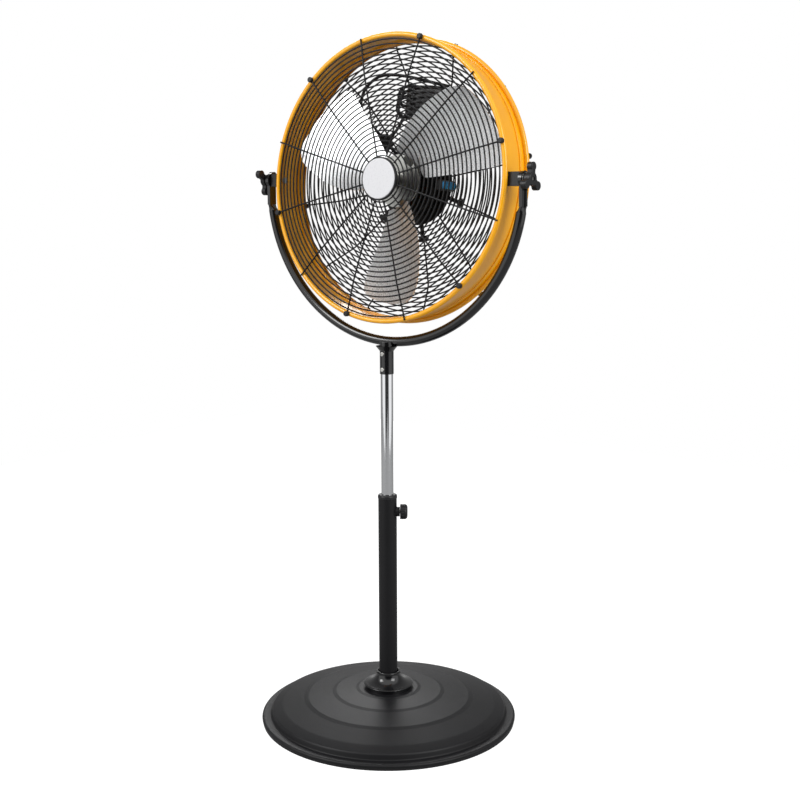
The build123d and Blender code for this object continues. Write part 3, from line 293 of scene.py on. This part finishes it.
SLOT_FINISH = {
    "yellow_paint": drum_powder_coat, "black_satin": satin_black_coat, "black_gloss": gloss_black_enamel,
    "chrome_plate": bright_chrome, "zinc": zinc_plate, "iron": grey_iron,
    "blade_metal": polished_aluminium, "motor_paint": motor_alloy, "core_steel": lamination_steel,
    "copper": enamelled_copper, "brass_metal": turned_brass, "black_plastic": black_moulding,
    "nylon": black_nylon, "white_plastic": white_moulding, "blue_plastic": blue_moulding,
    "rubber_black": black_rubber,
}
NODE_SLOT = {part["node"]: part["material_slot"] for part in frame["record"]["subparts"]}


# ================= shared steps =================

# Points closer than this are welded together.
WELD_MM = 0.01


def deselect():
    """Leave nothing selected before a piece is added."""
    bpy.ops.object.select_all(action="DESELECT")


def arc(centre, radius, start, end, steps):
    """Points on a circle in a profile, from one angle to another in degrees."""
    turn = [radians(start + (end - start) * i / steps) for i in range(steps + 1)]
    return [(centre[0] + radius * cos(t), centre[1] + radius * sin(t)) for t in turn]


def rounded(points, radii, steps=5):
    """A chain of profile points with each inner corner rounded to its radius."""
    chain = [points[0]]
    for before, here, after, radius in zip(points, points[1:], points[2:], radii):
        corner = Vector(here)
        back = (Vector(before) - corner).normalized()
        on = (Vector(after) - corner).normalized()
        half = back.angle(on) / 2
        cut = radius / tan(half)
        middle = corner + (back + on).normalized() * radius / sin(half)
        first = corner + back * cut - middle
        last = corner + on * cut - middle
        sweep = first.angle_signed(last)
        for i in range(steps + 1):
            turned = Matrix.Rotation(-sweep * i / steps, 2) @ first
            chain.append(tuple(middle + turned))
    chain.append(points[-1])
    return chain


def sheet_outline(points, thick):
    """A closed outline around a sheet whose one face is the chain and whose other is thick to its right."""
    other = []
    for i, here in enumerate(points):
        before = Vector(points[max(i - 1, 0)])
        after = Vector(points[min(i + 1, len(points) - 1)])
        along = (after - before).normalized()
        other.append((here[0] + along.y * thick, here[1] - along.x * thick))
    return list(points) + other[::-1]


def lathe(name, outline, place, axis, steps):
    """Extrude one vertex along a closed outline, spin it about the axis and weld it.

    place puts a profile point in space, in millimetres.
    """
    deselect()
    spots = [Vector(place(*point)) * MM for point in outline]
    bpy.ops.mesh.primitive_plane_add(size=MM, location=spots[0])
    piece = bpy.context.object
    piece.name = name
    bpy.ops.object.mode_set(mode="EDIT")
    bpy.ops.mesh.select_all(action="SELECT")
    bpy.ops.mesh.merge(type="CENTER")
    for before, here in zip(spots, spots[1:] + spots[:1]):
        bpy.ops.mesh.extrude_region_move(TRANSFORM_OT_translate={"value": here - before})
    bpy.ops.mesh.select_all(action="SELECT")
    bpy.ops.mesh.spin(steps=steps, angle=2 * pi, center=(0, 0, 0), axis=axis)
    bpy.ops.mesh.select_all(action="SELECT")
    bpy.ops.mesh.remove_doubles(threshold=WELD_MM * MM)
    bpy.ops.mesh.normals_make_consistent(inside=False)
    bpy.ops.object.mode_set(mode="OBJECT")
    bpy.ops.object.transform_apply(location=True, rotation=True, scale=True)
    bpy.ops.object.shade_smooth_by_angle(angle=radians(35))
    return piece


def upright(radius, height):
    """A profile point about the pole."""
    return (radius, 0.0, height)


def in_head(radius, ahead):
    """A profile point about the drum's axis, a distance ahead of the tilt axis."""
    return (0.0, -ahead, radius)


def tilt_into_place(piece):
    """Carry a piece from the head's own frame to its place on the yoke."""
    deselect()
    piece.select_set(True)
    bpy.context.view_layer.objects.active = piece
    piece.matrix_world = HEAD @ piece.matrix_world
    bpy.ops.object.transform_apply(location=True, rotation=True, scale=True)


def hand_over(piece, body, material, slot, *nodes):
    """Give a finished piece its material, its body and the CAD nodes that it stands for."""
    piece.data.materials.clear()
    piece.data.materials.append(material)
    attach(piece, body)
    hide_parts(*nodes)


# ================= stage =================

FLOOR_SIZE = 5.4
# How strongly the paper glows for everything else, and for the camera itself.
PAPER_BOUNCE, PAPER_GLOW = 0.12, 0.93
# Name, place, side and power in watts of each soft light.
LIGHTS = (
    ("key", (-1.8, -3.0, 3.0), 1.6, 70.0),
    ("fill", (3.4, -0.6, 2.4), 1.8, 52.0),
    ("rim", (-2.2, 2.6, 2.6), 1.6, 40.0),
)
LIT_SPOT = (0, 0, 0.8)
# The room's brightness, from behind the fan, past its sides, to the camera's side.
ROOM_STRENGTH = 1.15
ROOM_AXIS = (0.607, -0.795, 0.0)
ROOM_BEHIND, ROOM_CAMERA = 0.3, 0.03
ROOM_PANELS = ((0.42, 0.25), (0.55, 1.0), (0.88, 1.0), (0.94, 0.05))
CAMERA_SPOT = (1.550, -2.030, 1.107)
CAMERA_AIM = (-0.598, 0.784, -0.1675)
CAMERA_ROLL = radians(-0.3)
CAMERA_SHIFT = 0.0155


class FAN_OT_stage(bpy.types.Operator):
    """Put in the pale floor, the soft lights and the camera."""

    bl_idname = "fan.stage"
    bl_label = "Stage"

    def execute(self, context):
        deselect()
        bpy.ops.mesh.primitive_plane_add(size=FLOOR_SIZE, location=(0, 0, 0))
        floor = context.object
        floor.name = "floor"
        floor.data.materials.append(self.floor_paper())
        context.scene.world = self.studio()
        for light in LIGHTS:
            self.add_light(*light)
        self.add_camera(context)
        context.scene.view_settings.view_transform = "Standard"
        return {"FINISHED"}

    def floor_paper(self):
        """White paper, lit evenly from below, so that only a faint shadow shows on it."""
        paper = finish("pale_floor", linear("#8C8C8C"),
                       metallic=0.0, roughness=0.9, grain_mm=30.0, depth_mm=0.0, spread=0.0)
        tree = paper.node_tree
        shader = tree.nodes["Principled BSDF"]
        shader.inputs["Specular IOR Level"].default_value = 0.0
        shader.inputs["Emission Color"].default_value = (1.0, 1.0, 1.0, 1.0)
        path = add_node(tree, "ShaderNodeLightPath")
        glow = add_node(tree, "ShaderNodeMapRange", {"To Min": PAPER_BOUNCE, "To Max": PAPER_GLOW},
                        {"Value": path.outputs["Is Camera Ray"]})
        tree.links.new(glow.outputs["Result"], shader.inputs["Emission Strength"])
        return paper

    def studio(self):
        """White room: dim towards the camera, bright panels to its sides, grey behind the fan."""
        sky = bpy.data.worlds.new("studio")
        sky.use_nodes = True
        tree = sky.node_tree
        tree.nodes.clear()
        way = add_node(tree, "ShaderNodeTexCoord")
        facing = add_node(tree, "ShaderNodeVectorMath", {1: ROOM_AXIS},
                          {0: way.outputs["Generated"]}, operation="DOT_PRODUCT")
        share = add_node(tree, "ShaderNodeMapRange", {"From Min": -1.0, "From Max": 1.0},
                         {"Value": facing.outputs["Value"]})
        panels = add_node(tree, "ShaderNodeValToRGB", links={"Fac": share.outputs["Result"]})
        ramp = panels.color_ramp
        ramp.elements[0].color = (ROOM_BEHIND, ROOM_BEHIND, ROOM_BEHIND, 1.0)
        ramp.elements[1].color = (ROOM_CAMERA, ROOM_CAMERA, ROOM_CAMERA, 1.0)
        for spot, level in ROOM_PANELS:
            ramp.elements.new(spot).color = (level, level, level, 1.0)
        room = add_node(tree, "ShaderNodeBackground", {"Strength": ROOM_STRENGTH},
                        {"Color": panels.outputs["Color"]})
        page = add_node(tree, "ShaderNodeBackground", {"Color": (1.0, 1.0, 1.0, 1.0), "Strength": 1.0})
        path = add_node(tree, "ShaderNodeLightPath")
        both = add_node(tree, "ShaderNodeMixShader", links={"Fac": path.outputs["Is Camera Ray"],
                        1: room.outputs["Background"], 2: page.outputs["Background"]})
        add_node(tree, "ShaderNodeOutputWorld", links={"Surface": both.outputs["Shader"]})
        return sky

    def add_light(self, name, spot, size, watts):
        """A square soft light that looks at the middle of the fan."""
        bpy.ops.object.light_add(type="AREA", location=spot)
        light = bpy.context.object
        light.name = name
        light.data.size = size
        light.data.energy = watts
        look = Vector(LIT_SPOT) - Vector(spot)
        light.rotation_euler = look.to_track_quat("-Z", "Y").to_euler()

    def add_camera(self, context):
        """Camera at the head's height, in front of the fan and to its side, looking slightly down."""
        bpy.ops.object.camera_add(location=CAMERA_SPOT)
        camera = context.object
        aim = Vector(CAMERA_AIM).normalized().to_track_quat("-Z", "Y").to_matrix().to_4x4()
        roll = Matrix.Rotation(CAMERA_ROLL, 4, "Z")
        camera.matrix_world = Matrix.Translation(camera.location) @ aim @ roll
        camera.data.lens = sizes().lens
        camera.data.sensor_width = 36.0
        camera.data.shift_x = CAMERA_SHIFT
        context.scene.camera = camera


# ================= mains cord =================
# The cord's route in the head's frame, in millimetres. LEAD is (across, up) at CORD_BACK behind the
# tilt axis, and TAIL is (across, behind TAIL_BACK, up).
CORD_BACK = 114.0
TAIL_BACK = 114.75
LEAD = ((-60.2, 54.2), (-108.5, 97.7), (-146.0, 130.0), (-172.0, 164.0), (-157.0, 205.0), (-102.0, 232.0))
TAIL = ((-54.0, 13.0, 150.0), (-71.0, 18.5, 134.0), (-82.0, 17.5, 114.0), (-92.0, 16.0, 104.0))
HANK_CENTRE = (10.0, 162.0)
HANK_HALF_LENGTH = 93.0
HANK_HALF_HEIGHT = 34.0
HANK_LEAN = radians(5.0)
LAYER = 6.4
LOOP_STEP = 30.0
LOOP_POINTS = 7
# A quadratic spline cuts inside its points; points this much further out give the loop its radius.
OUTSIDE = 1.035
# The hank's end loops in turn: side, height of its middle, radius, how far short of the end, layer.
HANK_LOOPS = (
    (1, 11.25, 19.5, 8.0, 0), (-1, 11.25, 19.5, 5.0, 1), (1, 0.0, 30.75, 0.0, 1),
    (-1, -11.25, 19.5, 9.0, 0), (1, -11.25, 19.5, 5.0, 2), (-1, -4.75, 26.0, 0.0, 2),
    (1, 1.75, 19.5, 9.0, 1),
)
# The film sleeve's ends along the hank, its wall, its room round the cord, the radius of its long
# edges as a share of its depth, and how far and how closely it crumples.
SLEEVE_START, SLEEVE_END = -56.0, 72.0
SLEEVE_WALL = 0.7
SLEEVE_DEEPER, SLEEVE_TALLER = 1.4, 2.0
SLEEVE_ROUND = 0.44
CRUMPLE = 0.35
RIPPLES = ((140.0, 90.0), (-60.0, 210.0))


def in_hank(across, up):
    """A spot of the leaning hank in the head's own frame, as (across, up)."""
    return (HANK_CENTRE[0] + across * cos(HANK_LEAN) + up * sin(HANK_LEAN),
            HANK_CENTRE[1] - across * sin(HANK_LEAN) + up * cos(HANK_LEAN))


def hank_points(thick):
    """Control points of the hank: loops at both ends that differ in size, lying in three layers."""
    points = []
    for side, middle, radius, short, layer in HANK_LOOPS:
        centre = side * (HANK_HALF_LENGTH - thick / 2 - radius - short)
        for i in range(LOOP_POINTS):
            angle = radians(90.0 * side - LOOP_STEP * i)
            x, z = in_hank(centre + radius * OUTSIDE * cos(angle), middle + radius * OUTSIDE * sin(angle))
            points.append((x, CORD_BACK + LAYER * layer, z))
    return points


class FAN_OT_cord(bpy.types.Operator):
    """Lay the mains cord: out of its gland, round in a loop, and wound into a flat hank in a film sleeve."""

    bl_idname = "fan.cord"
    bl_label = "Mains cord"

    def execute(self, context):
        thick = sizes().cord
        route = [(x, CORD_BACK, z) for x, z in LEAD]
        route += hank_points(thick / MM)
        route += [(x, TAIL_BACK + back, z) for x, back, z in TAIL]
        line = bpy.data.curves.new("mains_cord", "CURVE")
        line.dimensions = "3D"
        line.bevel_depth = thick / 2
        line.bevel_resolution = 4
        line.resolution_u = 6
        line.use_fill_caps = True
        spline = line.splines.new("NURBS")
        spline.points.add(len(route) - 1)
        for point, spot in zip(spline.points, route):
            point.co = (HEAD @ (Vector(spot) * MM)).to_4d()
        spline.order_u = 3
        spline.use_endpoint_u = True
        cord = bpy.data.objects.new("mains_cord", line)
        context.scene.collection.objects.link(cord)
        cord.data.materials.append(black_rubber())
        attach(cord, "head")
        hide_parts("power_cord", "cord_hank", "cord_tail")
        self.sleeve()
        return {"FINISHED"}

    def sleeve(self):
        """Soft black film round the middle of the hank, open at both ends, where the loops stand out."""
        deep = 2 * LAYER + sizes().cord / MM + SLEEVE_DEEPER
        tall = 2 * HANK_HALF_HEIGHT + SLEEVE_TALLER
        x, z = in_hank((SLEEVE_START + SLEEVE_END) / 2, 0.0)
        deselect()
        bpy.ops.mesh.primitive_cube_add(size=1.0, location=Vector((x, CORD_BACK + LAYER, z)) * MM,
                                        rotation=(0, HANK_LEAN, 0),
                                        scale=((SLEEVE_END - SLEEVE_START) * MM, deep * MM, tall * MM))
        film = bpy.context.object
        film.name = "cord_sleeve"
        bpy.ops.object.transform_apply(location=False, rotation=False, scale=True)
        bpy.ops.object.mode_set(mode="EDIT")
        self.choose(film, "edges")
        bpy.ops.mesh.bevel(offset=deep * SLEEVE_ROUND * MM, segments=6)
        self.choose(film, "faces")
        bpy.ops.mesh.delete(type="ONLY_FACE")
        self.choose(film, "edges")
        bpy.ops.mesh.subdivide(number_cuts=14)
        bpy.ops.mesh.select_all(action="SELECT")
        bpy.ops.mesh.normals_make_consistent(inside=False)
        bpy.ops.object.mode_set(mode="OBJECT")
        for vertex in film.data.vertices:
            x, _, z = vertex.co
            wave = sum(sin(x * across + z * up) for across, up in RIPPLES)
            vertex.co += vertex.normal * (CRUMPLE * MM * wave)
        wall = film.modifiers.new("wall", "SOLIDIFY")
        wall.thickness = SLEEVE_WALL * MM
        wall.offset = 1.0
        bpy.ops.object.modifier_apply(modifier="wall")
        bpy.ops.object.transform_apply(location=True, rotation=True, scale=True)
        tilt_into_place(film)
        bpy.ops.object.shade_smooth_by_angle(angle=radians(50))
        hand_over(film, "head", black_nylon(), "nylon", "cord_ties")
        return film

    def choose(self, film, kind):
        """Select the edges that run along the sleeve, or the faces at its two ends."""
        bpy.ops.mesh.select_all(action="DESELECT")
        mesh = bmesh.from_edit_mesh(film.data)
        if kind == "edges":
            for edge in mesh.edges:
                edge.select = abs(edge.verts[1].co.x - edge.verts[0].co.x) > 1 * MM
        else:
            for face in mesh.faces:
                face.select = abs(face.normal.x) > 0.9
        bmesh.update_edit_mesh(film.data)


# ================= finishes of the frame's own pieces =================

class FAN_OT_finishes(bpy.types.Operator):
    """Give each piece that keeps its frame shape the finish of its material slot."""

    bl_idname = "fan.finishes"
    bl_label = "Finishes"

    def execute(self, context):
        for name, piece in frame["nodes"].items():
            piece.data.materials.clear()
            piece.data.materials.append(SLOT_FINISH[NODE_SLOT[name]]())
        return {"FINISHED"}


# ================= base =================

# Outer face of the base as (radius, height) from the tube outwards, and the radii of its corners.
BASE_FACE = ((17.5, 64.0), (61.0, 64.0), (68.0, 62.2), (109.0, 57.8), (117.0, 55.6), (168.0, 47.0),
             (177.0, 44.0), (222.0, 32.5), (243.4, 24.6), (245.8, 12.4), (256.0, 12.0))
BASE_CORNERS = (10.0, 10.0, 14.0, 14.0, 16.0, 16.0, 50.0, 6.0, 3.0)
BASE_LIP_MIDDLE, BASE_LIP = (260.5, 7.5), 4.5
BASE_STEPS = 160


class FAN_OT_base(bpy.types.Operator):
    """Press the round base: a dome with two rounded steps and a rolled lip."""

    bl_idname = "fan.base"
    bl_label = "Base plate"

    def execute(self, context):
        chain = rounded(BASE_FACE, BASE_CORNERS, 6)
        chain = chain[:-1] + arc(BASE_LIP_MIDDLE, BASE_LIP, 100.0, -200.0, 16)
        outline = sheet_outline(chain, sizes().base_sheet / MM)
        piece = lathe("base_plate_skin", outline, upright, (0, 0, 1), BASE_STEPS)
        hand_over(piece, "base", satin_black_coat(), "black_satin", "base_plate")
        return {"FINISHED"}


def bell_curve(start, first, second, end, steps):
    """Points of a smooth flare between two ends, pulled by two handles."""
    points = []
    for i in range(steps + 1):
        t = i / steps
        weights = ((1 - t) ** 3, 3 * t * (1 - t) ** 2, 3 * t * t * (1 - t), t ** 3)
        handles = (start, first, second, end)
        points.append(tuple(sum(w * h[k] for w, h in zip(weights, handles)) for k in (0, 1)))
    return points


COLLAR_STEPS = 96


class FAN_OT_collar(bpy.types.Operator):
    """Spin the bell-shaped collar with its undercut foot and the round lip about the tube."""

    bl_idname = "fan.collar"
    bl_label = "Base collar"

    def execute(self, context):
        outline = [(21.0, 64.0), (48.5, 64.0), (48.5, 71.0)]
        outline += arc((50.3, 72.2), 1.2, -90.0, 60.0, 6)
        outline += bell_curve((50.0, 73.8), (38.0, 77.0), (27.0, 82.0), (25.0, 96.0), 14)
        outline += arc((23.0, 98.0), 2.0, -20.0, 180.0, 10)
        piece = lathe("collar_bell", outline, upright, (0, 0, 1), COLLAR_STEPS)
        hand_over(piece, "base", gloss_black_enamel(), "black_gloss", "base_collar")
        return {"FINISHED"}


# ================= drum =================
# Ahead of the tilt axis: the drum's front and its depth; and how far its wall lies inside the beads.
DRUM_FRONT = 17.5
DRUM_DEPTH = 88.0
BEAD_STAND = 8.0
# Angle on a bead at which the sheet leaves it for the wall.
BEAD_FOOT = 122.6
# The groove: its depth, and its outer and inner edges ahead of the rear bead.
GROOVE = 5.0
GROOVE_EDGES = (22.6, 22.0, 18.6, 18.0)
DRUM_STEPS = 192


class FAN_OT_drum(bpy.types.Operator):
    """Roll the drum: sheet metal with a bead at each rim and a narrow groove towards the back."""

    bl_idname = "fan.drum"
    bl_label = "Drum"

    def execute(self, context):
        bead = sizes().bead / MM
        outer = sizes().drum / MM
        ring = outer - bead
        wall = outer - BEAD_STAND
        front = DRUM_FRONT - bead
        back = DRUM_FRONT - DRUM_DEPTH + bead
        chain = arc((ring, front), bead, 200.0, -BEAD_FOOT, 26)
        levels = (wall, wall - GROOVE, wall - GROOVE, wall)
        groove = [(level, back + edge) for level, edge in zip(levels, GROOVE_EDGES)]
        landing = arc((ring, back), bead, BEAD_FOOT, BEAD_FOOT, 1)[0]
        chain += rounded([chain.pop(), *groove, landing], [1.0] * len(groove), 3)
        chain = chain[:-1] + arc((ring, back), bead, BEAD_FOOT, -200.0, 26)
        outline = sheet_outline(chain, sizes().sheet / MM)
        piece = lathe("drum_shell", outline, in_head, (0, 1, 0), DRUM_STEPS)
        tilt_into_place(piece)
        hand_over(piece, "head", drum_powder_coat(), "yellow_paint", "drum")
        return {"FINISHED"}


# ================= blades =================
# A blade's shape in the head's frame: angles in degrees clockwise from the top, lengths in millimetres.
BLADES = 3
ROOT, TIP = 56.0, 244.0
ROOT_CORNER, TIP_CORNER = 8.7, 26.0
BLADE_ANGLE, BLADE_SWEEP = 163.0, 0.08
HALF_ANGLE, TAPER = 41.0, 0.085
# How far a blade lies behind the tilt axis, its depth at the root and what it gains outwards, its camber.
BLADE_BACK, ROOT_DEPTH, MORE_DEPTH, CAMBER = 24.0, 34.0, 16.0, 5.0
BLADE_WALL = 1.5
BLADE_ROWS, BLADE_COLUMNS = 40, 24


def half_angle(radius):
    """Half of the angle that a blade covers at a radius."""
    return HALF_ANGLE - TAPER * radius


def blade_spot(radius, share):
    """A point of a blade's back face; share runs from -1, trailing, to 1, leading edge."""
    grown = min(max((radius - ROOT) / ROOT, -0.5), 1.0)
    depth = ROOT_DEPTH + MORE_DEPTH * grown
    behind = BLADE_BACK + share * depth / 2 + CAMBER * (1 - share * share)
    angle = radians(BLADE_ANGLE + BLADE_SWEEP * radius + share * half_angle(radius))
    return Vector((radius * sin(angle), behind, radius * cos(angle))) * MM


def blade_reach(radius):
    """How much of its width a blade has at a radius, where its corners are rounded."""
    half = radius * radians(half_angle(radius))
    reach = 1.0
    tip = (TIP_CORNER, radius - TIP + TIP_CORNER)
    root = (ROOT_CORNER, ROOT + ROOT_CORNER - radius)
    for corner, into in (tip, root):
        if into > 0:
            reach = 1.0 - (corner - sqrt(max(corner ** 2 - into ** 2, 0.0))) / half
    return reach


class FAN_OT_blades(bpy.types.Operator):
    """Press the three blades: cambered, twisted sheets with rounded corners, riveted to the hub."""

    bl_idname = "fan.blades"
    bl_label = "Blades"

    def execute(self, context):
        for number in range(BLADES):
            deselect()
            bpy.ops.mesh.primitive_grid_add(x_subdivisions=BLADE_ROWS, y_subdivisions=BLADE_COLUMNS, size=2.0)
            blade = context.object
            blade.name = "blade_sheet_%d" % (number + 1)
            spin = Matrix.Rotation(2 * pi * number / BLADES, 4, "Y")
            for vertex in blade.data.vertices:
                along = 0.5 + 0.5 * sin(vertex.co.x * pi / 2)
                radius = ROOT + (TIP - ROOT) * along
                spot = blade_spot(radius, vertex.co.y * blade_reach(radius))
                vertex.co = HEAD @ spin @ spot
            bpy.ops.object.mode_set(mode="EDIT")
            bpy.ops.mesh.select_all(action="SELECT")
            bpy.ops.mesh.normals_make_consistent(inside=False)
            bpy.ops.object.mode_set(mode="OBJECT")
            ahead = HEAD.to_3x3() @ Vector((0, -1, 0))
            if blade.data.polygons[0].normal.dot(ahead) < 0:
                bpy.ops.object.mode_set(mode="EDIT")
                bpy.ops.mesh.flip_normals()
                bpy.ops.object.mode_set(mode="OBJECT")
            wall = blade.modifiers.new("wall", "SOLIDIFY")
            wall.thickness = BLADE_WALL * MM
            wall.offset = 1.0
            bpy.ops.object.modifier_apply(modifier="wall")
            bpy.ops.object.shade_smooth_by_angle(angle=radians(40))
            hand_over(blade, "rotor", polished_aluminium(), "blade_metal", "blade_%d" % (number + 1))
        return {"FINISHED"}


PIECES = (
    ("fan.stage", FAN_OT_stage),
    ("fan.finishes", FAN_OT_finishes),
    ("fan.cord", FAN_OT_cord),
    ("fan.base", FAN_OT_base),
    ("fan.collar", FAN_OT_collar),
    ("fan.drum", FAN_OT_drum),
    ("fan.blades", FAN_OT_blades),
)


class FAN_PT_pieces(bpy.types.Panel):
    """Sidebar panel that lists the fan's pieces."""

    bl_idname = "FAN_PT_pieces"
    bl_label = "Pedestal fan"
    bl_space_type = "VIEW_3D"
    bl_region_type = "UI"
    bl_category = "Fan"

    def draw(self, context):
        for name, _ in PIECES:
            self.layout.operator(name)


def register():
    """Register the settings, the operators and the panel."""
    for kind in (FanSizes, FanColours):
        bpy.utils.register_class(kind)
    bpy.types.Scene.fan_sizes = PointerProperty(type=FanSizes)
    bpy.types.Scene.fan_colours = PointerProperty(type=FanColours)
    for _, kind in PIECES:
        bpy.utils.register_class(kind)
    bpy.utils.register_class(FAN_PT_pieces)


def unregister():
    """Take everything back out."""
    bpy.utils.unregister_class(FAN_PT_pieces)
    for _, kind in reversed(PIECES):
        bpy.utils.unregister_class(kind)
    del bpy.types.Scene.fan_colours
    del bpy.types.Scene.fan_sizes
    for kind in (FanColours, FanSizes):
        bpy.utils.unregister_class(kind)


def main():
    """Build every piece in order."""
    register()
    for name, _ in PIECES:
        group, action = name.split(".")
        getattr(getattr(bpy.ops, group), action)()


if __name__ == "__main__":
    main()
